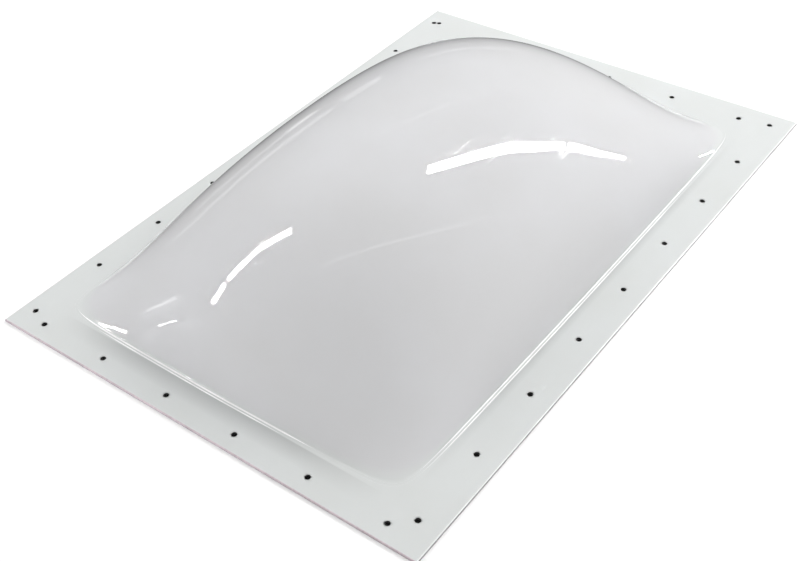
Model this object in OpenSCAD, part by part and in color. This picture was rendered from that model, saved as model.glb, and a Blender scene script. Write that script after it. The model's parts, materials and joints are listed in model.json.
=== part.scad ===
// Outer skylight dome for a caravan or motorhome roof.
// One sheet of white acrylic: the middle is blown up into a dome and the rim
// stays flat as the screw flange. Millimetres, +Z up, the flange lies on z = 0
// and the origin is at the middle of the flange.

/* [Sheet] */
// Short side of the flange, along X
flange_w = 451; // [440:1:480]
// Long side of the flange, along Y
flange_l = 655; // [645:1:700]
// Thickness of the flat flange
sheet_t = 2.4; // [2:0.1:3.5]
// Thickness at the crown, where blowing has stretched the sheet thin
crown_t = 1.6; // [1.2:0.1:2]

/* [Dome] */
// Height of the crown over the top of the flange
dome_h = 116; // [90:1:135]
// Width of the dome, along X, where its sides would run out to nothing
dome_w = 373; // [360:0.5:380]
// Length of the dome, along Y, where its ends would run out to nothing
dome_l = 570; // [560:1:580]
// Shift of the dome along X, off the middle of the flange
dome_dx = -6.3; // [-8:0.1:8]
// Shift of the dome along Y, off the middle of the flange
dome_dy = -2.9; // [-8:0.1:8]
// Bulge of the long sides: less stands them up more
side_power = 0.31; // [0.2:0.01:0.9]
// Lean of the long sides at their foot: more leans them further in
side_lean = 0.2; // [0.05:0.01:0.4]
// Fullness across the width: more is flatter over the crown
side_fullness = 0.02; // [-0.3:0.01:0.8]
// Fullness along the length: more is flatter over the crown
end_fullness = 0.8; // [-0.3:0.01:1.2]
// Drop of the four corners of the dome
corner_drop = 0.61; // [0:0.01:1]
// Share of the dome's full height that the flange cuts off at the foot
foot_cut = 0.0125; // [0.01:0.0005:0.05]
// Height over which the foot blends into the flange, half way along a side
foot_blend = 1.8; // [0.8:0.1:4.5]
// How much tighter the blend is towards the corners
corner_tightness = 6; // [0:0.5:8]

/* [Screw holes] */
// Diameter of each screw hole
hole_d = 4.8; // [3.5:0.1:6]
// Spacing of the holes in every row
hole_pitch = 75.7; // [70:0.1:77]
// Holes in each short row
short_row_count = 6; // [4:1:6]
// Holes in each long row
long_row_count = 9; // [5:1:9]
// Edge to hole row, near short side (-Y)
near_inset = 15.6; // [10:0.1:22]
// Edge to hole row, right long side (+X)
right_inset = 21; // [10:0.1:24]
// Edge to hole row, far short side (+Y)
far_inset = 24; // [10:0.1:26]
// Edge to hole row, left long side (-X)
left_inset = 14.2; // [10:0.1:22]
// Shift of the near row's middle along X
near_shift = -1.4; // [-8:0.1:8]
// Shift of the right row's middle along Y
right_shift = 5.5; // [-8:0.1:8]
// Shift of the far row's middle along X
far_shift = -16.3; // [-18:0.1:8]
// Shift of the left row's middle along Y
left_shift = -1.8; // [-8:0.1:8]

/* [Hidden] */
// Points round each ring: across a short side and along a long side
ring_short = 18;
ring_long = 26;
// Rings between the top of the foot's blend and the crown
dome_rings = 16;
// Levels in the foot's blend, as shares of its height
blend_levels = [-1, -0.6, -0.3, 0, 0.3, 0.6, 1];
// Reach of the rays on which the rings lie, in half widths and half lengths
ray_reach = 1.05;
// Steps used to find a level on a ray, and the step used to find a slope
search_steps = 26;
slope_step = 0.05;
// Sides of each round hole, and how far its cutter runs past both faces
hole_sides = 48;
cutter_overrun = 1;
acrylic_colour = [0.93, 0.94, 0.95];

// ---- height of the dome -------------------------------------------------

// Arch: 1 in the middle, 0 at the edge, negative beyond it
function arch(s, fullness) = (1 - s * s) * (1 + fullness * s * s);

// The same arch with its sides stood up, still 1 in the middle and 0 at the edge
function stood_up(a) =
    let (foot = pow(side_lean, side_power))
    sign(a) * (pow(abs(a) + side_lean, side_power) - foot)
        / (pow(1 + side_lean, side_power) - foot);

// Height of the blown surface over the flange's top, negative past the foot
function blown(x, y) =
    let (
        u = (x - dome_dx) / (dome_w / 2),
        v = (y - dome_dy) / (dome_l / 2),
        across = stood_up(arch(u, side_fullness)),
        along = arch(v, end_fullness),
        corner = 1 - corner_drop * u * u * v * v,
        full = min(across, along) < 0 ? -abs(across * along) : across * along * corner
    )
    dome_h * (full - foot_cut) / (1 - foot_cut);

// Height over which the foot blends into the flange at (x, y)
function blend_at(x, y) =
    let (
        u = (x - dome_dx) / (dome_w / 2),
        v = (y - dome_dy) / (dome_l / 2)
    )
    foot_blend / (1 + corner_tightness * u * u * v * v);

// The larger of h and 0, blended smoothly while h is within blend of 0
function blended(h, blend) =
    let (overlap = max(blend - abs(h), 0) / blend)
    max(h, 0) + overlap * overlap * blend / 4;

// Height of the outer face over z = 0
function outer_z(x, y) = sheet_t + blended(blown(x, y), blend_at(x, y));

// Outward unit normal of the outer face
function outer_normal(x, y) =
    let (
        dx = (outer_z(x + slope_step, y) - outer_z(x - slope_step, y)) / (2 * slope_step),
        dy = (outer_z(x, y + slope_step) - outer_z(x, y - slope_step)) / (2 * slope_step),
        n = [-dx, -dy, 1]
    )
    n / norm(n);

// Thickness of the sheet where the outer face is z high
function thickness(z) = sheet_t - (sheet_t - crown_t) * (z - sheet_t) / dome_h;

// ---- rings of points ----------------------------------------------------

// n fractions from -1 towards 1, closer together near both ends
function side_fractions(n) = [for (i = [0 : n - 1]) -cos(180 * i / n)];

// Points round a 2 x 2 square, anticlockwise from its near left corner
square_ring = concat(
    [for (s = side_fractions(ring_short)) [s, -1]],
    [for (s = side_fractions(ring_long)) [1, s]],
    [for (s = side_fractions(ring_short)) [-s, 1]],
    [for (s = side_fractions(ring_long)) [-1, -s]]
);
ring_size = len(square_ring);

// Point at share t of the ray from the dome's middle to square point p
function on_ray(p, t) = [dome_dx + t * p[0] * dome_w / 2, dome_dy + t * p[1] * dome_l / 2];

// Share of that ray at which the blown surface reaches a level. A level is
// [share of the foot's blend, height added to it].
function ray_share(p, level, low = 0, high = ray_reach, step = search_steps) =
    let (
        middle = (low + high) / 2,
        at = on_ray(p, middle),
        height = level[0] * blend_at(at[0], at[1]) + level[1]
    )
    step == 0 ? middle
    : blown(at[0], at[1]) > height ? ray_share(p, level, middle, high, step - 1)
    : ray_share(p, level, low, middle, step - 1);

// Levels of the rings, from just outside the foot to just under the crown
levels = concat(
    [for (share = blend_levels) [share, 0]],
    [for (i = [1 : dome_rings])
        let (rise = sin(90 * i / (dome_rings + 1)))
        [1, (dome_h - foot_blend) * rise * rise]]
);

flat_rings = [for (level = levels) [for (p = square_ring) on_ray(p, ray_share(p, level))]];

function outer_point(q) = [q[0], q[1], outer_z(q[0], q[1])];
function inner_point(q) =
    let (z = outer_z(q[0], q[1]))
    [q[0], q[1], z] - thickness(z) * outer_normal(q[0], q[1]);

edge_ring = [for (p = square_ring) [p[0] * flange_w / 2, p[1] * flange_l / 2]];

outer_rings = concat(
    [[for (q = edge_ring) [q[0], q[1], sheet_t]]],
    [[for (q = flat_rings[0]) [q[0], q[1], sheet_t]]],
    [for (i = [1 : len(flat_rings) - 1]) [for (q = flat_rings[i]) outer_point(q)]]
);
inner_rings = concat(
    [[for (q = edge_ring) [q[0], q[1], 0]]],
    [[for (q = flat_rings[0]) [q[0], q[1], 0]]],
    [for (i = [1 : len(flat_rings) - 1]) [for (q = flat_rings[i]) inner_point(q)]]
);
ring_count = len(outer_rings);

// ---- the sheet ----------------------------------------------------------

// Point numbers: the outer rings, the inner rings, then the two crown points
function number(side, ring, i) = (side * ring_count + ring) * ring_size + i % ring_size;
crown_outer = 2 * ring_count * ring_size;
crown_inner = crown_outer + 1;

// Two triangles between point i of two neighbouring rings, facing out or in
function band(side, ring, i) =
    let (
        a = number(side, ring, i),
        b = number(side, ring, i + 1),
        c = number(side, ring + 1, i + 1),
        d = number(side, ring + 1, i)
    )
    side == 0 ? [[a, c, b], [a, d, c]] : [[a, b, c], [a, c, d]];

sheet_points = concat(
    [for (ring = outer_rings) each ring],
    [for (ring = inner_rings) each ring],
    [[dome_dx, dome_dy, sheet_t + dome_h], [dome_dx, dome_dy, sheet_t + dome_h - crown_t]]
);

sheet_faces = [
    for (side = [0, 1]) for (ring = [0 : ring_count - 2]) for (i = [0 : ring_size - 1])
        each band(side, ring, i),
    for (i = [0 : ring_size - 1]) each [
        // closing fans at the crown
        [number(0, ring_count - 1, i), crown_outer, number(0, ring_count - 1, i + 1)],
        [number(1, ring_count - 1, i), number(1, ring_count - 1, i + 1), crown_inner],
        // cut edge of the flange
        [number(0, 0, i), number(0, 0, i + 1), number(1, 0, i + 1)],
        [number(0, 0, i), number(1, 0, i + 1), number(1, 0, i)]
    ]
];

module blown_sheet() {
    polyhedron(points = sheet_points, faces = sheet_faces, convexity = 4);
}

// ---- screw holes --------------------------------------------------------

module screw_hole() {
    translate([0, 0, -cutter_overrun])
        cylinder(d = hole_d, h = sheet_t + 2 * cutter_overrun, $fn = hole_sides);
}

// A row of holes at one pitch, centred on its origin and along X
module hole_row(count) {
    for (i = [0 : count - 1])
        translate([(i - (count - 1) / 2) * hole_pitch, 0, 0])
            screw_hole();
}

module screw_holes() {
    translate([near_shift, -flange_l / 2 + near_inset, 0])
        hole_row(short_row_count);
    translate([far_shift, flange_l / 2 - far_inset, 0])
        hole_row(short_row_count);
    translate([flange_w / 2 - right_inset, right_shift, 0])
        rotate([0, 0, 90])
            hole_row(long_row_count);
    translate([-flange_w / 2 + left_inset, left_shift, 0])
        rotate([0, 0, 90])
            hole_row(long_row_count);
}

// ---- the one piece ------------------------------------------------------

module skylight_dome() {
    color(acrylic_colour)
        difference() {
            blown_sheet();
            screw_holes();
        }
}

skylight_dome();
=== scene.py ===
"""A blown white acrylic skylight dome with its flat screw flange, lying on a pale floor."""
import json
import math

import bpy
import numpy as np
from mathutils import Euler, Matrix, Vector
from mathutils.geometry import delaunay_2d_cdt


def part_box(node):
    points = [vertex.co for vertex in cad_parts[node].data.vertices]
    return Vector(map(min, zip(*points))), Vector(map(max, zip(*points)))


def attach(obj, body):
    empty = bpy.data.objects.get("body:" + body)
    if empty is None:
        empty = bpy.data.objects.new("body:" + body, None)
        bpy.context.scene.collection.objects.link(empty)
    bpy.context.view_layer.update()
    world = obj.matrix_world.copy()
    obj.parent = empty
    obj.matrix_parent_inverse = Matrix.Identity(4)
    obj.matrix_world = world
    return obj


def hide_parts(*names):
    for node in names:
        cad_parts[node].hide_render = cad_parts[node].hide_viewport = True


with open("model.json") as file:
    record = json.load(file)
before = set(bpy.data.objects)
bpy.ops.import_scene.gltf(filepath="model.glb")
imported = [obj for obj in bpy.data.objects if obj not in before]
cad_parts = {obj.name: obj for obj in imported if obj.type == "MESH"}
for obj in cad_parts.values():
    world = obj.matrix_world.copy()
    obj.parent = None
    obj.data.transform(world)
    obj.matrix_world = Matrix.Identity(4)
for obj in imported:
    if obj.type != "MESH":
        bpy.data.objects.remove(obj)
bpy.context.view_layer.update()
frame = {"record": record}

MM = 0.001
RECORD = frame["record"]

# ---- sizes taken from the frame ------------------------------------------

FLANGE_LOW, FLANGE_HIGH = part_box("skylight_dome")
CROWN_Z = FLANGE_HIGH.z
MOUNTS = RECORD["mounts"]
SHEET_T = max(m["pos_m"][2] for m in MOUNTS)
HOLLOW = RECORD["physics"]["openings"][0]["box_m"]
DOME_MIDDLE = [(HOLLOW[0][i] + HOLLOW[1][i]) / 2 for i in (0, 1)]

# ---- shape of the blown dome, as in the part's construction ---------------

DOME_H = CROWN_Z - SHEET_T
DOME_HALF_W = 186.5 * MM
DOME_HALF_L = 285 * MM
SIDE_POWER = 0.31
SIDE_LEAN = 0.2
SIDE_FULLNESS = 0.02
END_FULLNESS = 0.8
CORNER_DROP = 0.61
FOOT_CUT = 0.0125
FOOT_BLEND = 1.8 * MM
CORNER_TIGHTNESS = 6
CROWN_T = 1.6 * MM
RAY_REACH = 1.05
SLOPE_STEP = 0.05 * MM

# Two painted highlights: pale lines along the foot, where the crease catches the lamps, on a slight
# ridge.
# For each: how far out its middle lies, its half width, and the part of the near and of the right
# side along which it runs, in half widths and half lengths of the dome
HIGHLIGHT_LINES = [
    (0.9 * MM, 0.55 * MM, (-0.93, 0.55), (-0.90, 0.97)),
    (3.4 * MM, 0.45 * MM, (-0.75, 0.40), (-0.90, 0.55)),
]
HIGHLIGHT_RIDGE_H = 0.12 * MM
HIGHLIGHT_STEPS = 4
HIGHLIGHT_TAPER = 0.15
HIGHLIGHT_NEAR_WIDER = 1.4
HIGHLIGHT_THINNEST = 0.03

# ---- fineness of the mesh -------------------------------------------------

RING_SHORT = 84
RING_LONG = 120
BLEND_RINGS = 20
DOME_RINGS = 34
CROWN_LEVEL = 0.9
SEARCH_STEPS = 40
HOLE_POINTS = 40
EDGE_ROUND = 0.8 * MM
EDGE_LOW_ROUND = 0.15 * MM
EDGE_STEPS = 4
HOLE_ROUND = 0.3 * MM
GUARD = 0.25 * MM
SHARP_ANGLE = math.radians(35)
# Plan points nearer together than this count as one when the flat faces are cut up
SAME_POINT = 1e-7


def arch(s, fullness):
    """Arch: 1 in the middle, 0 at the edge, negative beyond it."""
    return (1 - s * s) * (1 + fullness * s * s)


def stood_up(a):
    """The same arch with its sides stood up, still 1 in the middle and 0 at the edge."""
    foot = SIDE_LEAN ** SIDE_POWER
    full = (1 + SIDE_LEAN) ** SIDE_POWER
    return np.sign(a) * ((np.abs(a) + SIDE_LEAN) ** SIDE_POWER - foot) / (full - foot)


def blown(x, y):
    """Height of the blown surface over the flange's top, negative past the foot."""
    u = (x - DOME_MIDDLE[0]) / DOME_HALF_W
    v = (y - DOME_MIDDLE[1]) / DOME_HALF_L
    across = stood_up(arch(u, SIDE_FULLNESS))
    along = arch(v, END_FULLNESS)
    corner = 1 - CORNER_DROP * u * u * v * v
    inside = np.minimum(across, along) >= 0
    full = np.where(inside, across * along * corner, -np.abs(across * along))
    return DOME_H * (full - FOOT_CUT) / (1 - FOOT_CUT)


def blend_at(x, y):
    """Height over which the foot blends into the flange, less at the corners."""
    u = (x - DOME_MIDDLE[0]) / DOME_HALF_W
    v = (y - DOME_MIDDLE[1]) / DOME_HALF_L
    return FOOT_BLEND / (1 + CORNER_TIGHTNESS * u * u * v * v)


def outer_z(x, y):
    """Height of the outer face: the blown surface blended into the flat flange."""
    h, blend = blown(x, y), blend_at(x, y)
    overlap = np.maximum(blend - np.abs(h), 0) / blend
    return SHEET_T + np.maximum(h, 0) + overlap * overlap * blend / 4


def outer_face(xy):
    """Points and unit normals of the outer face over the given plan points."""
    x, y = xy[:, 0], xy[:, 1]
    dx = (outer_z(x + SLOPE_STEP, y) - outer_z(x - SLOPE_STEP, y)) / (2 * SLOPE_STEP)
    dy = (outer_z(x, y + SLOPE_STEP) - outer_z(x, y - SLOPE_STEP)) / (2 * SLOPE_STEP)
    normals = np.column_stack([-dx, -dy, np.ones_like(dx)])
    normals /= np.linalg.norm(normals, axis=1)[:, None]
    return np.column_stack([x, y, outer_z(x, y)]), normals


def inner_face(xy):
    """Points and unit normals of the inner face: one sheet thickness in from the outer face."""
    points, normals = outer_face(xy)
    thickness = SHEET_T - (SHEET_T - CROWN_T) * (points[:, 2] - SHEET_T) / DOME_H
    return points - thickness[:, None] * normals, -normals


# ---- plan of the mesh -----------------------------------------------------

def side_fractions(count):
    """Fractions from -1 towards 1, closer together near both ends."""
    return -np.cos(math.pi * np.arange(count) / count)


def side_shares(count):
    """Shares from 0 to 1 with the spacing of a ring's side, ends included."""
    return (1 - np.cos(math.pi * np.arange(count + 1) / count)) / 2


def square_ring():
    """Points round a 2 x 2 square, anticlockwise from its near left corner."""
    short, long = side_fractions(RING_SHORT), side_fractions(RING_LONG)
    near = np.column_stack([short, -np.ones(RING_SHORT)])
    right = np.column_stack([np.ones(RING_LONG), long])
    return np.vstack([near, right, -near, -right])


def on_rays(square, share):
    """Points at a share of the way from the dome's middle to the square's points."""
    x = DOME_MIDDLE[0] + share * square[:, 0] * DOME_HALF_W
    y = DOME_MIDDLE[1] + share * square[:, 1] * DOME_HALF_L
    return np.column_stack([x, y])


def ring_at(share, rise):
    """Plan points of the ring at which the blown surface is a share of its blend, plus a rise."""
    square = square_ring()
    low, high = np.zeros(len(square)), np.full(len(square), RAY_REACH)
    for _ in range(SEARCH_STEPS):
        middle = (low + high) / 2
        x, y = on_rays(square, middle).T
        above = blown(x, y) > share * blend_at(x, y) + rise
        low = np.where(above, middle, low)
        high = np.where(above, high, middle)
    return on_rays(square, (low + high) / 2)


def ring_levels():
    """(share of the blend, rise) of each ring, from the foot's outer edge up to the crown patch."""
    foot = [(share, 0.0) for share in np.linspace(-1, 1, BLEND_RINGS, endpoint=False)]
    steps = np.sin(np.linspace(0, 1, DOME_RINGS) * math.asin(CROWN_LEVEL ** 0.5)) ** 2
    return foot + [(1.0, (DOME_H - FOOT_BLEND) * step) for step in steps]


def moved_out(ring, distance):
    """A ring moved outwards in plan, by one distance or by one for each point."""
    along = np.roll(ring, -1, axis=0) - np.roll(ring, 1, axis=0)
    out = np.column_stack([along[:, 1], -along[:, 0]])
    return ring + np.reshape(distance, (-1, 1)) * out / np.linalg.norm(out, axis=1)[:, None]


def crown_grid(ring):
    """A grid of plan points that fills the top ring."""
    columns, rows = RING_SHORT + 1, RING_LONG + 1
    near = ring[:columns]
    right = ring[RING_SHORT:RING_SHORT + rows]
    far = ring[RING_SHORT + RING_LONG:2 * RING_SHORT + RING_LONG + 1][::-1]
    left = np.vstack([ring[2 * RING_SHORT + RING_LONG:], ring[:1]])[::-1]
    s = side_shares(RING_SHORT)[None, :, None]
    t = side_shares(RING_LONG)[:, None, None]
    grid = (1 - t) * near[None] + t * far[None] + (1 - s) * left[:, None] + s * right[:, None]
    grid -= (1 - s) * (1 - t) * near[0] + s * (1 - t) * near[-1]
    grid -= (1 - s) * t * far[0] + s * t * far[-1]
    return grid


# ---- screw holes and edge --------------------------------------------------

def screw_holes():
    """(x, y, radius) of every screw hole, from the mounts."""
    holes = []
    for mount in MOUNTS:
        dims = mount["dims"]
        x, y = mount["pos_m"][:2]
        if mount["kind"] == "bore":
            holes.append((x, y, dims["r_mm"] * MM))
        if mount["kind"] == "bolt_pattern":
            dx = dims.get("spacing_x_mm", 0) * MM / 2
            dy = dims.get("spacing_y_mm", 0) * MM / 2
            radius = dims["hole_r_mm"] * MM
            holes += [(x - dx, y - dy, radius), (x + dx, y + dy, radius)]
    return holes


def circle(x, y, radius):
    """Plan points round a circle, anticlockwise."""
    turn = 2 * math.pi * np.arange(HOLE_POINTS) / HOLE_POINTS
    return np.column_stack([x + radius * np.cos(turn), y + radius * np.sin(turn)])


def flange_outline(inset):
    """Corners of the flange, moved in by inset."""
    x0, y0 = FLANGE_LOW.x + inset, FLANGE_LOW.y + inset
    x1, y1 = FLANGE_HIGH.x - inset, FLANGE_HIGH.y - inset
    return np.array([[x0, y0], [x1, y0], [x1, y1], [x0, y1]])


def rounded_section(upper, lower):
    """(distance in from the edge, height) down an edge with an upper and a lower rounding."""
    turns = np.linspace(0, math.pi / 2, EDGE_STEPS + 1)
    top = [(upper * (1 - math.sin(t)), SHEET_T - upper * (1 - math.cos(t))) for t in turns]
    under = [(lower * (1 - math.sin(t)), lower * (1 - math.cos(t))) for t in turns]
    return [(upper + GUARD, SHEET_T)] + top + under[::-1] + [(lower + GUARD, 0.0)]


def section_materials(wall, upper=None):
    """The material of each band of a rounded section, with its own one on the upright wall."""
    rounding = [GLOSS if upper is None else upper] * EDGE_STEPS
    return [GLOSS] + rounding + [wall] + [GLOSS] * (EDGE_STEPS + 1)


def at_height(plan, z):
    """Plan points raised to one height."""
    return np.column_stack([plan, np.full(len(plan), z)])


# ---- the sheet ------------------------------------------------------------

GLOSS, CUT, SHADED_CUT, BORE, PAINTED_HIGHLIGHT = 0, 1, 2, 3, 4
# Materials of the flange's near, right, far and left edges: the upper rounding and the wall.
# The right edge has a painted highlight on its rim, over a wall darkened as painted shade.
RIM = [CUT, PAINTED_HIGHLIGHT, CUT, CUT]
WALLS = [CUT, SHADED_CUT, CUT, CUT]


class Builder:
    """Collects points and faces, with a material number for each face."""

    def __init__(self):
        self.points = []
        self.normals = []
        self.faces = []
        self.materials = []

    def add_points(self, points, normals=None):
        """Adds points and returns their numbers. Without normals, the faces give them."""
        start = len(self.points)
        self.points += [tuple(p) for p in points]
        if normals is None:
            normals = np.zeros((len(points), 3))
        self.normals += [tuple(n) for n in normals]
        return list(range(start, len(self.points)))

    def add_faces(self, faces, material):
        """Adds faces. material is one number for all of them, or a list of one for each."""
        self.faces += faces
        self.materials += material if isinstance(material, list) else [material] * len(faces)

    def band(self, lower, upper, material, flip=False):
        """Quads between two closed rings of points."""
        count = len(lower)
        faces = []
        for i in range(count):
            j = (i + 1) % count
            quad = [lower[i], lower[j], upper[j], upper[i]]
            faces.append(quad[::-1] if flip else quad)
        self.add_faces(faces, material)


def dome_side(builder, face, flip):
    """One face of the dome, from the foot to the crown. Returns its foot ring."""
    rings = [ring_at(share, rise) for share, rise in ring_levels()]
    numbers = [builder.add_points(*face(ring)) for ring in rings]
    for lower, upper in zip(numbers, numbers[1:]):
        builder.band(lower, upper, GLOSS, flip)
    grid = crown_grid(rings[-1])
    rows, columns = grid.shape[:2]
    patch = np.zeros((rows, columns), int)
    top = numbers[-1]
    patch[0, :] = top[:columns]
    patch[:, -1] = top[RING_SHORT:RING_SHORT + rows]
    patch[-1, ::-1] = top[RING_SHORT + RING_LONG:2 * RING_SHORT + RING_LONG + 1]
    patch[::-1, 0] = top[2 * RING_SHORT + RING_LONG:] + top[:1]
    inside = builder.add_points(*face(grid[1:-1, 1:-1].reshape(-1, 2)))
    patch[1:-1, 1:-1] = np.reshape(inside, (rows - 2, columns - 2))
    faces = []
    for r in range(rows - 1):
        for c in range(columns - 1):
            quad = [patch[r, c], patch[r, c + 1], patch[r + 1, c + 1], patch[r + 1, c]]
            quad = [int(i) for i in quad]
            faces.append(quad[::-1] if flip else quad)
    builder.add_faces(faces, GLOSS)
    return numbers[0]


def tapered(along, span):
    """1 inside a span, falling to 0 over the taper at each of its ends."""
    return np.clip(np.minimum(along - span[0], span[1] - along) / HIGHLIGHT_TAPER, 0, 1)


def painted_highlight_lines(builder, foot):
    """Painted highlights: two pale lines along the near and right sides of the foot, on a slight
    ridge. Returns the outermost ring.
    """
    ring = np.array([builder.points[n][:2] for n in foot])
    u = (ring[:, 0] - DOME_MIDDLE[0]) / DOME_HALF_W
    v = (ring[:, 1] - DOME_MIDDLE[1]) / DOME_HALF_L
    near, right = -v > np.abs(u), u > np.abs(v)
    last = foot
    for out, half_w, near_span, right_span in HIGHLIGHT_LINES:
        strength = near * HIGHLIGHT_NEAR_WIDER * tapered(u, near_span) + right * tapered(v, right_span)
        strength = np.maximum(strength, HIGHLIGHT_THINNEST)
        for i, step in enumerate(np.linspace(-1, 1, HIGHLIGHT_STEPS + 1)):
            plan = moved_out(ring, out + step * half_w * strength)
            z = SHEET_T + HIGHLIGHT_RIDGE_H * strength * math.cos(step * math.pi / 2) ** 2
            numbers = builder.add_points(np.column_stack([plan, z]))
            builder.band(numbers, last, PAINTED_HIGHLIGHT if i else GLOSS)
            last = numbers
    return last


def flat_guard(builder, ring, flip):
    """A narrow flat band outside a ring, which keeps its shading off the wide flange."""
    points = np.array([builder.points[n] for n in ring])
    outer = moved_out(points[:, :2], GUARD)
    numbers = builder.add_points(np.column_stack([outer, points[:, 2]]))
    builder.band(numbers, ring, GLOSS, flip)
    return numbers


def flange_side(builder, foot, outline, hole_rings, flip):
    """The flat face between the dome's foot, the flange's edge and the holes."""
    loops = [foot, outline] + hole_rings
    numbers = [n for loop in loops for n in loop]
    plan = [Vector(builder.points[n][:2]) for n in numbers]
    edges = []
    start = 0
    for loop in loops:
        count = len(loop)
        edges += [(start + i, start + (i + 1) % count) for i in range(count)]
        start += count
    triangles = delaunay_2d_cdt(plan, edges, [], 0, SAME_POINT)[2]
    foot_plan = np.array([builder.points[n][:2] for n in foot])
    holes = np.array(screw_holes())
    faces = []
    for triangle in triangles:
        middle = sum((plan[i] for i in triangle), Vector((0, 0))) / 3
        away = np.hypot(holes[:, 0] - middle.x, holes[:, 1] - middle.y)
        if inside_ring(foot_plan, middle) or (away < holes[:, 2]).any():
            continue
        face = [numbers[i] for i in triangle]
        faces.append(face[::-1] if flip else face)
    builder.add_faces(faces, GLOSS)


def inside_ring(ring, point):
    """Whether a plan point lies inside a ring, by counting the sides it has to its right."""
    x0, y0 = ring[:, 0], ring[:, 1]
    x1, y1 = np.roll(x0, -1), np.roll(y0, -1)
    spans = (y0 > point.y) != (y1 > point.y)
    crossing = x0[spans] + (point.y - y0[spans]) * (x1 - x0)[spans] / (y1 - y0)[spans]
    return (crossing > point.x).sum() % 2 == 1


def build_sheet():
    """The whole sheet as one closed mesh."""
    builder = Builder()
    top_foot = dome_side(builder, outer_face, flip=False)
    top_foot = flat_guard(builder, painted_highlight_lines(builder, top_foot), flip=False)
    low_foot = flat_guard(builder, dome_side(builder, inner_face, flip=True), flip=True)
    section = rounded_section(EDGE_ROUND, EDGE_LOW_ROUND)
    levels = [at_height(flange_outline(inset), z) for inset, z in section]
    edge = [builder.add_points(level) for level in levels]
    for upper, lower, material in zip(edge, edge[1:], section_materials(WALLS, RIM)):
        builder.band(lower, upper, material)
    top_holes, low_holes = [], []
    for x, y, radius in screw_holes():
        section = rounded_section(HOLE_ROUND, HOLE_ROUND)
        levels = [at_height(circle(x, y, radius + inset), z) for inset, z in section]
        rings = [builder.add_points(level) for level in levels]
        for upper, lower, material in zip(rings, rings[1:], section_materials(BORE)):
            builder.band(upper, lower, material)
        top_holes.append(rings[0])
        low_holes.append(rings[-1])
    flange_side(builder, top_foot, edge[0], top_holes, flip=False)
    flange_side(builder, low_foot, edge[-1], low_holes, flip=True)
    mesh = bpy.data.meshes.new("acrylic_sheet")
    mesh.from_pydata(builder.points, [], builder.faces)
    mesh.polygons.foreach_set("material_index", builder.materials)
    mesh.polygons.foreach_set("use_smooth", [True] * len(builder.faces))
    mesh.set_sharp_from_angle(angle=SHARP_ANGLE)
    mesh.normals_split_custom_set_from_vertices(builder.normals)
    mesh.update()
    sheet = bpy.data.objects.new("acrylic_sheet", mesh)
    bpy.context.scene.collection.objects.link(sheet)
    return sheet


# ---- materials ------------------------------------------------------------

class Nodes:
    """A node tree with short ways to add nodes and join them."""

    def __init__(self, tree):
        self.tree = tree

    def add(self, kind, links=None, **settings):
        """Adds a node. links are its input sockets, each a value or another node's output."""
        node = self.tree.nodes.new("ShaderNode" + kind)
        for name, value in settings.items():
            setattr(node, name, value)
        for socket, value in (links or {}).items():
            if isinstance(value, bpy.types.NodeSocket):
                self.tree.links.new(value, node.inputs[socket])
            else:
                node.inputs[socket].default_value = value
        return node

    def join(self, output, shader, socket):
        """Links an output to a socket of a shader."""
        self.tree.links.new(output, shader.inputs[socket])

    def noise(self, place, scale, detail):
        """Noise at a scale in cycles per metre."""
        return self.add("TexNoise", {"Vector": place, "Scale": scale, "Detail": detail}).outputs[0]

    def remap(self, value, from_low, from_high, to_low, to_high):
        """Value mapped from one range to another, and held inside it."""
        links = {0: value, 1: from_low, 2: from_high, 3: to_low, 4: to_high}
        return self.add("MapRange", links).outputs[0]

    def maths(self, operation, a, b):
        """Arithmetic on two values."""
        return self.add("Math", {0: a, 1: b}, operation=operation).outputs[0]

    def blend(self, share, a, b, mode="MIX"):
        """Colour a turning into colour b, or into the two multiplied."""
        links = {0: share, 6: a, 7: b}
        return self.add("Mix", links, data_type="RGBA", blend_type=mode).outputs[2]

    def bump(self, strength, distance, height):
        """A normal bumped by a height."""
        links = {"Strength": strength, "Distance": distance, "Height": height}
        return self.add("Bump", links).outputs[0]

    def place(self, stretch=None):
        """The point on the piece, in metres, with its axes stretched if asked."""
        point = self.add("TexCoord").outputs["Object"]
        if stretch is None:
            return point
        return self.add("Mapping", {"Vector": point, "Scale": stretch}).outputs[0]


def new_material(name):
    """A material with only a Principled shader: its nodes, and that shader."""
    material = bpy.data.materials.new(name)
    material.use_nodes = True
    nodes = Nodes(material.node_tree)
    return material, nodes, material.node_tree.nodes["Principled BSDF"]


# Two sets of scratches: (turn in radians, scale across them in cycles per metre)
SCRATCH_SETS = [(0.6, 420.0), (2.3, 380.0)]
SCRATCH_STRETCH = 50
SCRATCH_RANGE = (0.70, 0.72)
SCRATCH_ROUGHNESS = 0.12
SCRATCH_DEPTH = 0.01 * MM
# The range that most of a noise falls in
NOISE_RANGE = (0.35, 0.65)


def scratches(nodes, place, angle, scale):
    """Sparse hairline scratches in one direction, 1 on a scratch and 0 off it."""
    stretch = (scale, scale / SCRATCH_STRETCH, scale)
    links = {"Vector": place, "Rotation": (0, 0, angle), "Scale": stretch}
    turned = nodes.add("Mapping", links).outputs[0]
    fine = nodes.noise(turned, 1.0, 1.0)
    return nodes.remap(fine, *SCRATCH_RANGE, 0.0, 1.0)


FLANGE_TINT = (0.665, 0.682, 0.680, 1)
DOME_TINT = (0.655, 0.657, 0.670, 1)
SMUDGE_TINT = (0.97, 0.968, 0.96, 1)
# Painted shade on the flange beside the dome's near and right foot
SHADE_TINT = (0.51, 0.522, 0.525, 1)
SHADE_START = 3.4 * MM
NEAR_SHADE_REACH = 18 * MM
RIGHT_SHADE_REACH = 8 * MM
RIGHT_SHADE = 0.7
# Width over which the shade starts
SHADE_SOFTNESS = 1 * MM
# Where the shade starts and stops fading towards a side's ends, in half sides
SHADE_ENDS = (0.5, 0.95)


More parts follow.
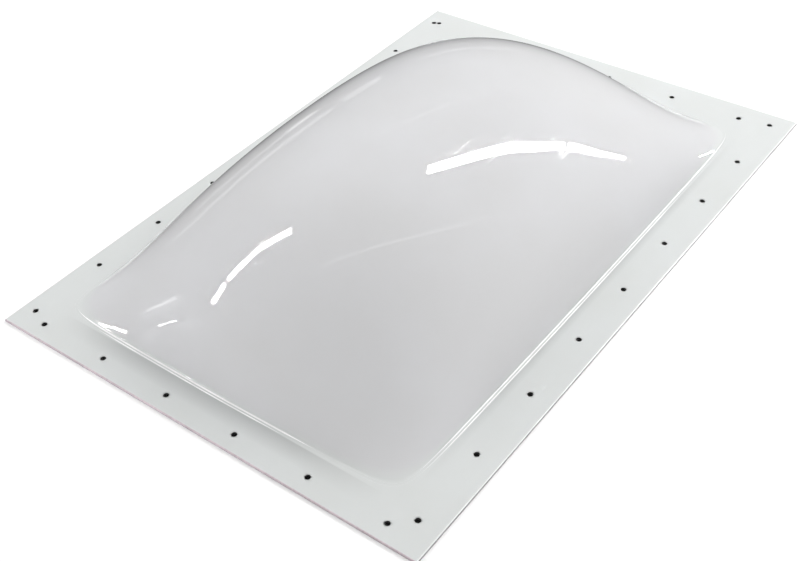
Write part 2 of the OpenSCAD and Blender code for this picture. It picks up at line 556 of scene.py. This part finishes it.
def painted_side_shade(nodes, away, along, half, reach):
    """A soft painted shade beside the dome: away from its side, and fading towards the side's ends.
    """
    start = nodes.remap(away, SHADE_START, SHADE_START + SHADE_SOFTNESS, 0.0, 1.0)
    fade = nodes.remap(away, SHADE_START, SHADE_START + reach, 1.0, 0.0)
    from_middle = nodes.maths("ABSOLUTE", along, 0.0)
    ends = nodes.remap(from_middle, SHADE_ENDS[0] * half, SHADE_ENDS[1] * half, 1.0, 0.0)
    return nodes.maths("MULTIPLY", nodes.maths("MULTIPLY", start, fade), ends)


def painted_foot_shade(nodes, place):
    """Painted shade: a darker strip on the flange outside the pale lines, near and right of the
    dome, where the foot's crease shades it.
    """
    axes = nodes.add("SeparateXYZ", {0: place}).outputs
    right_of = nodes.maths("SUBTRACT", axes[0], DOME_MIDDLE[0])
    beyond = nodes.maths("SUBTRACT", axes[1], DOME_MIDDLE[1])
    away_right = nodes.maths("SUBTRACT", right_of, DOME_HALF_W)
    away_near = nodes.maths("SUBTRACT", nodes.maths("MULTIPLY", beyond, -1.0), DOME_HALF_L)
    near = painted_side_shade(nodes, away_near, right_of, DOME_HALF_W, NEAR_SHADE_REACH)
    right = painted_side_shade(nodes, away_right, beyond, DOME_HALF_L, RIGHT_SHADE_REACH)
    return nodes.maths("ADD", near, nodes.maths("MULTIPLY", right, RIGHT_SHADE))


# Heights over the flange between which its tint turns into the dome's
TINT_TURN = (0.1 * MM, 3 * MM)
# Each noise is its scale in cycles per metre and its detail
SMUDGE_NOISE = (9.0, 4.0)
FILM_NOISE = (30.0, 5.0)
FILM_RANGE = (0.45, 0.75)
FILM_ROUGHNESS = (0.006, 0.018)
WAVE_NOISE = (7.0, 1.0)
WAVE_HEIGHT = 0.05 * MM
ACRYLIC_IOR = 1.49
GLOW_DEPTH = 0.002


def acrylic_tint(nodes, place):
    """The sheet's colour: a greener flange with painted shade beside the dome's foot, a bluer dome,
    and faint smudges.
    """
    height = nodes.add("SeparateXYZ", {0: place}).outputs[2]
    in_dome = nodes.remap(height, SHEET_T + TINT_TURN[0], SHEET_T + TINT_TURN[1], 0.0, 1.0)
    flange = nodes.blend(painted_foot_shade(nodes, place), FLANGE_TINT, SHADE_TINT)
    tint = nodes.blend(in_dome, flange, DOME_TINT)
    cloud = nodes.remap(nodes.noise(place, *SMUDGE_NOISE), *NOISE_RANGE, 0.0, 1.0)
    return nodes.blend(cloud, tint, SMUDGE_TINT, "MULTIPLY")


def white_acrylic():
    """Glossy translucent white acrylic with a thin film of dust, scratches and slow waves."""
    material, nodes, shader = new_material("white_acrylic")
    place = nodes.place()
    nodes.join(acrylic_tint(nodes, place), shader, "Base Color")
    film = nodes.remap(nodes.noise(place, *FILM_NOISE), *FILM_RANGE, *FILM_ROUGHNESS)
    sets = [scratches(nodes, place, angle, scale) for angle, scale in SCRATCH_SETS]
    marks = nodes.maths("MAXIMUM", *sets)
    rough = nodes.maths("ADD", film, nodes.maths("MULTIPLY", marks, SCRATCH_ROUGHNESS))
    nodes.join(rough, shader, "Roughness")
    wave = nodes.maths("MULTIPLY", nodes.noise(place, *WAVE_NOISE), WAVE_HEIGHT)
    cut = nodes.maths("MULTIPLY", marks, -SCRATCH_DEPTH)
    relief = nodes.maths("ADD", wave, cut)
    nodes.join(nodes.bump(1.0, 1.0, relief), shader, "Normal")
    shader.inputs["IOR"].default_value = ACRYLIC_IOR
    shader.inputs["Subsurface Weight"].default_value = 1.0
    shader.inputs["Subsurface Radius"].default_value = (1.0, 1.0, 1.0)
    shader.inputs["Subsurface Scale"].default_value = GLOW_DEPTH
    return material


SAWN_LIGHT = (0.62, 0.53, 0.57, 1)
SAWN_DARK = (0.50, 0.42, 0.46, 1)
# The right edge's wall, darker as painted shade
SHADED_WALL_LIGHT = (0.36, 0.31, 0.34, 1)
SHADED_WALL_DARK = (0.27, 0.23, 0.25, 1)
SAW_STRETCH = (1, 1, 0.05)
TEETH_NOISE = (500.0, 3.0)
PATCH_NOISE = (60.0, 2.0)
SAWN_RANGE = (0.8, 1.2)
SAWN_ROUGHNESS = 0.55
# Near-black hole walls: painted shade
HOLE_SHADE_DARK = (0.01, 0.01, 0.01, 1)
HOLE_SHADE_LIGHT = (0.05, 0.045, 0.04, 1)
DRILL_STRETCH = (0.1, 0.1, 1)
DRILL_NOISE = (4000.0, 2.0)
DRILLED_ROUGHNESS = 0.7
TOOL_MARK_DEPTH = 0.05 * MM
TEETH_BUMP = 0.4
RINGS_BUMP = 0.3
# Colours of the painted highlight lines along the dome's foot
HIGHLIGHT_DULL = (0.86, 0.86, 0.86, 1)
HIGHLIGHT_WHITE = (1.0, 1.0, 1.0, 1)
HIGHLIGHT_NOISE = (40.0, 3.0)
HIGHLIGHT_ROUGHNESS = 0.3


def sawn_edge(name, light, dark):
    """The sawn walls of the sheet: dull, greyish pink, with upright saw marks."""
    material, nodes, shader = new_material(name)
    teeth = nodes.noise(nodes.place(SAW_STRETCH), *TEETH_NOISE)
    patch = nodes.noise(nodes.place(), *PATCH_NOISE)
    share = nodes.remap(nodes.maths("ADD", teeth, patch), *SAWN_RANGE, 0.0, 1.0)
    nodes.join(nodes.blend(share, light, dark), shader, "Base Color")
    nodes.join(nodes.bump(TEETH_BUMP, TOOL_MARK_DEPTH, teeth), shader, "Normal")
    shader.inputs["Roughness"].default_value = SAWN_ROUGHNESS
    return material


def drilled_wall():
    """The drilled walls of the screw holes: near black as painted shade, with rings left by the
    drill.
    """
    material, nodes, shader = new_material("drilled_wall")
    rings = nodes.noise(nodes.place(DRILL_STRETCH), *DRILL_NOISE)
    nodes.join(nodes.blend(rings, HOLE_SHADE_DARK, HOLE_SHADE_LIGHT), shader, "Base Color")
    nodes.join(nodes.bump(RINGS_BUMP, TOOL_MARK_DEPTH, rings), shader, "Normal")
    shader.inputs["Roughness"].default_value = DRILLED_ROUGHNESS
    return material


def clamp_mark():
    """Painted highlight: the pale lines along the dome's foot, whiter than the sheet."""
    material, nodes, shader = new_material("clamp_mark")
    highlight_patches = nodes.remap(nodes.noise(nodes.place(), *HIGHLIGHT_NOISE), *NOISE_RANGE, 0.0, 1.0)
    nodes.join(nodes.blend(highlight_patches, HIGHLIGHT_DULL, HIGHLIGHT_WHITE), shader, "Base Color")
    shader.inputs["Roughness"].default_value = HIGHLIGHT_ROUGHNESS
    return material


def sheet_materials():
    """The sheet's materials, in the order of their numbers."""
    return [
        white_acrylic(),
        sawn_edge("sawn_edge", SAWN_LIGHT, SAWN_DARK),
        # the right edge's wall, darkened as painted shade
        sawn_edge("sawn_edge_dirty", SHADED_WALL_LIGHT, SHADED_WALL_DARK),
        drilled_wall(),
        clamp_mark(),
    ]


PAINT_ROUGHNESS = 0.9


def plain_paint(name, colour):
    """Matt paint for the floor."""
    material, _, shader = new_material(name)
    shader.inputs["Base Color"].default_value = colour
    shader.inputs["Roughness"].default_value = PAINT_ROUGHNESS
    shader.inputs["Specular IOR Level"].default_value = 0.0
    return material


# ---- floor, light and camera ----------------------------------------------

FLOOR_HALF = 60.0
FLOOR_GAP = 0.1 * MM
FLOOR_PAINT = (0.98, 0.98, 0.98, 1)
# Painted shade: dark discs on the floor under the holes, in hole radii
DISC_SIZE = 1.5
SHADE_DISC_PAINT = (0.02, 0.02, 0.02, 1)


def staged_mesh(name, points, faces, material):
    """A piece of the stage, unseen in reflections."""
    mesh = bpy.data.meshes.new(name)
    mesh.from_pydata(points, [], faces)
    mesh.materials.append(material)
    piece = bpy.data.objects.new(name, mesh)
    bpy.context.scene.collection.objects.link(piece)
    piece.visible_glossy = False


def make_floor():
    """A large pale floor just under the flange, with painted shade: dark discs where it shows
    through the screw holes.
    """
    corners = [(-1, -1), (1, -1), (1, 1), (-1, 1)]
    points = [(x * FLOOR_HALF, y * FLOOR_HALF, -FLOOR_GAP) for x, y in corners]
    staged_mesh("floor", points, [(0, 1, 2, 3)], plain_paint("floor_paint", FLOOR_PAINT))
    points, faces = [], []
    for x, y, radius in screw_holes():
        start = len(points)
        disc = at_height(circle(x, y, radius * DISC_SIZE), -FLOOR_GAP / 2)
        points += [tuple(p) for p in disc]
        faces.append(list(range(start, len(points))))
    staged_mesh("floor_under_holes", points, faces, plain_paint("dark_paint", SHADE_DISC_PAINT))


def area_light(name, place, towards, size, radiance, glossy):
    """A rectangular lamp of one radiance. size is (width, length)."""
    data = bpy.data.lights.new(name, "AREA")
    data.shape = "RECTANGLE"
    data.size, data.size_y = size
    data.energy = radiance * math.pi * size[0] * size[1]
    lamp = bpy.data.objects.new(name, data)
    bpy.context.scene.collection.objects.link(lamp)
    lamp.location = place
    lamp.rotation_euler = (Vector(towards) - Vector(place)).to_track_quat("-Z", "Y").to_euler()
    lamp.visible_diffuse = not glossy
    lamp.visible_transmission = not glossy
    lamp.visible_glossy = glossy
    lamp.visible_camera = False
    return lamp


def strip_light(name, start, end, width, radiance):
    """A long thin ceiling lamp that is seen only in reflections. start and end are (x, y)."""
    start, end = Vector((*start, CEILING_Z)), Vector((*end, CEILING_Z))
    along = end - start
    lamp = area_light(name, (start + end) / 2, start, (along.length, width), radiance, True)
    lamp.rotation_euler = Euler((0, 0, math.atan2(along.y, along.x)))


def sky_patch(name, azimuth, elevation, size, radiance):
    """A far bright patch that is seen only in reflections. Angles and (width, height) in degrees.

    The azimuth turns from +Y towards +X.
    """
    turn, rise = math.radians(azimuth), math.radians(elevation)
    flat = math.cos(rise)
    place = SKY_R * Vector((flat * math.sin(turn), flat * math.cos(turn), math.sin(rise)))
    width, height = (2 * SKY_R * math.tan(math.radians(a) / 2) for a in size)
    area_light(name, place, (0, 0, 0), (width, height), radiance, True)


CEILING_Z = 2.3
SKY_R = 9.0
EVEN_LIGHT = 0.77
# Strength of the room in reflections: (from rise, to rise, from strength, to strength)
LOW_ROOM = (-0.3, 0.0, 0.03, 0.1)
HIGH_ROOM = (0.1, 0.8, 0.0, 0.55)

# Soft lamps that light the sheet but are not seen in it: name, place, target, radiance
SOFT_LAMP_SIZE = (0.8, 0.8)
SOFT_LAMPS = [
    ("key", (0.7, 1.2, 1.2), (0, 0.1, 0), 8.1),
    ("back", (-0.3, 1.6, 0.8), (0, 0.1, 0), 4.6),
    ("low_fill", (-1.6, -1.3, 0.5), (0, 0, 0), 6.6),
]

# Ceiling tubes: name, start, end, width
TUBE_RADIANCE = 70
TUBES = [
    ("tube_1_near", (-0.40, 1.49), (0.21, 2.12), 0.18),
    ("tube_1_middle", (0.21, 2.12), (0.72, 2.60), 0.19),
    ("tube_1_far", (0.72, 2.60), (1.24, 3.28), 0.19),
    ("tube_2_near", (1.31, 3.37), (2.36, 4.75), 0.22),
    ("tube_2_far", (2.36, 4.75), (3.90, 7.20), 0.20),
    ("tube_3_near", (-3.57, -2.93), (-3.08, -2.05), 0.15),
    ("tube_3_middle", (-2.98, -1.87), (-2.22, -0.86), 0.16),
    ("tube_3_far", (-2.22, -0.86), (-1.56, -0.24), 0.16),
]

# Faint bent lines on the ceiling: name, the places of their bends, width, radiance
CEILING_LINES = [
    ("ceiling_rail", [(-2.3, 2.17), (-1.96, 2.34), (-1.32, 2.76), (-1.05, 3.05)], 0.05, 2.2),
    ("ceiling_cable", [(-0.58, -0.71), (0.31, 0.46), (1.5, 1.96)], 0.04, 1.8),
]

# Far lamps and windows: name, azimuth, elevation, (width, height), radiance
PATCHES = [
    ("lamp_left_1", -128.5, 20, (0.8, 0.35), 25),
    ("lamp_left_2", -117.5, 21.5, (2.0, 0.8), 3),
    ("window_1", -49.5, 3.5, (4, 5), 0.5),
    ("window_2", -55, -6, (3, 5), 0.45),
    ("window_3", -67, 4.2, (28, 3.5), 0.5),
    ("window_4", -62, -5, (18, 2), 0.5),
    ("window_5", -34, 3, (18, 3), 0.5),
    ("lamp_left_3", -120, 21.5, (5, 2.5), 0.8),
    ("lamp_left_4", -132.5, 20.5, (4, 2.5), 0.9),
    ("lamp_left_5", -131, 30, (5, 4), 0.6),
]


def make_world():
    """A surround that is even, but in reflections is dark low down and brighter above."""
    world = bpy.data.worlds.new("world")
    bpy.context.scene.world = world
    world.use_nodes = True
    nodes = Nodes(world.node_tree)
    background = world.node_tree.nodes["Background"]
    direction = nodes.add("TexCoord").outputs["Generated"]
    rise = nodes.add("SeparateXYZ", {0: direction}).outputs[2]
    room = nodes.maths("ADD", nodes.remap(rise, *LOW_ROOM), nodes.remap(rise, *HIGH_ROOM))
    glossy = nodes.add("LightPath").outputs["Is Glossy Ray"]
    strength = nodes.add("Mix", {0: glossy, 2: EVEN_LIGHT, 3: room}).outputs[0]
    nodes.join(strength, background, "Strength")
    background.inputs["Color"].default_value = (1, 1, 1, 1)


def make_lights():
    """Three soft lamps, and the tubes, lines and windows that only the gloss shows."""
    for name, place, target, radiance in SOFT_LAMPS:
        area_light(name, place, target, SOFT_LAMP_SIZE, radiance, False)
    for name, start, end, width in TUBES:
        strip_light(name, start, end, width, TUBE_RADIANCE)
    for name, bends, width, radiance in CEILING_LINES:
        for i, (start, end) in enumerate(zip(bends, bends[1:])):
            strip_light(f"{name}_{i}", start, end, width, radiance)
    for name, azimuth, elevation, size, radiance in PATCHES:
        sky_patch(name, azimuth, elevation, size, radiance)


# Lens and sensor width in millimetres, and the turn about each axis in degrees
LENS = 53.81
SENSOR_W = 36
CAMERA_PLACE = (0.5477, -0.7144, 0.6997)
CAMERA_TURN = (49.067, 2.995, 36.950)


def make_camera():
    """The camera, at the photo's angle: from the near right corner, looking down."""
    data = bpy.data.cameras.new("camera")
    camera = bpy.data.objects.new("camera", data)
    bpy.context.scene.collection.objects.link(camera)
    data.lens = LENS
    data.sensor_width = SENSOR_W
    camera.location = CAMERA_PLACE
    camera.rotation_euler = [math.radians(a) for a in CAMERA_TURN]
    bpy.context.scene.camera = camera


# ---- put together ---------------------------------------------------------


sheet = build_sheet()
for material in sheet_materials():
    sheet.data.materials.append(material)
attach(sheet, "root")
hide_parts("skylight_dome")
make_floor()
make_world()
make_lights()
make_camera()
bpy.context.scene.view_settings.view_transform = "Standard"
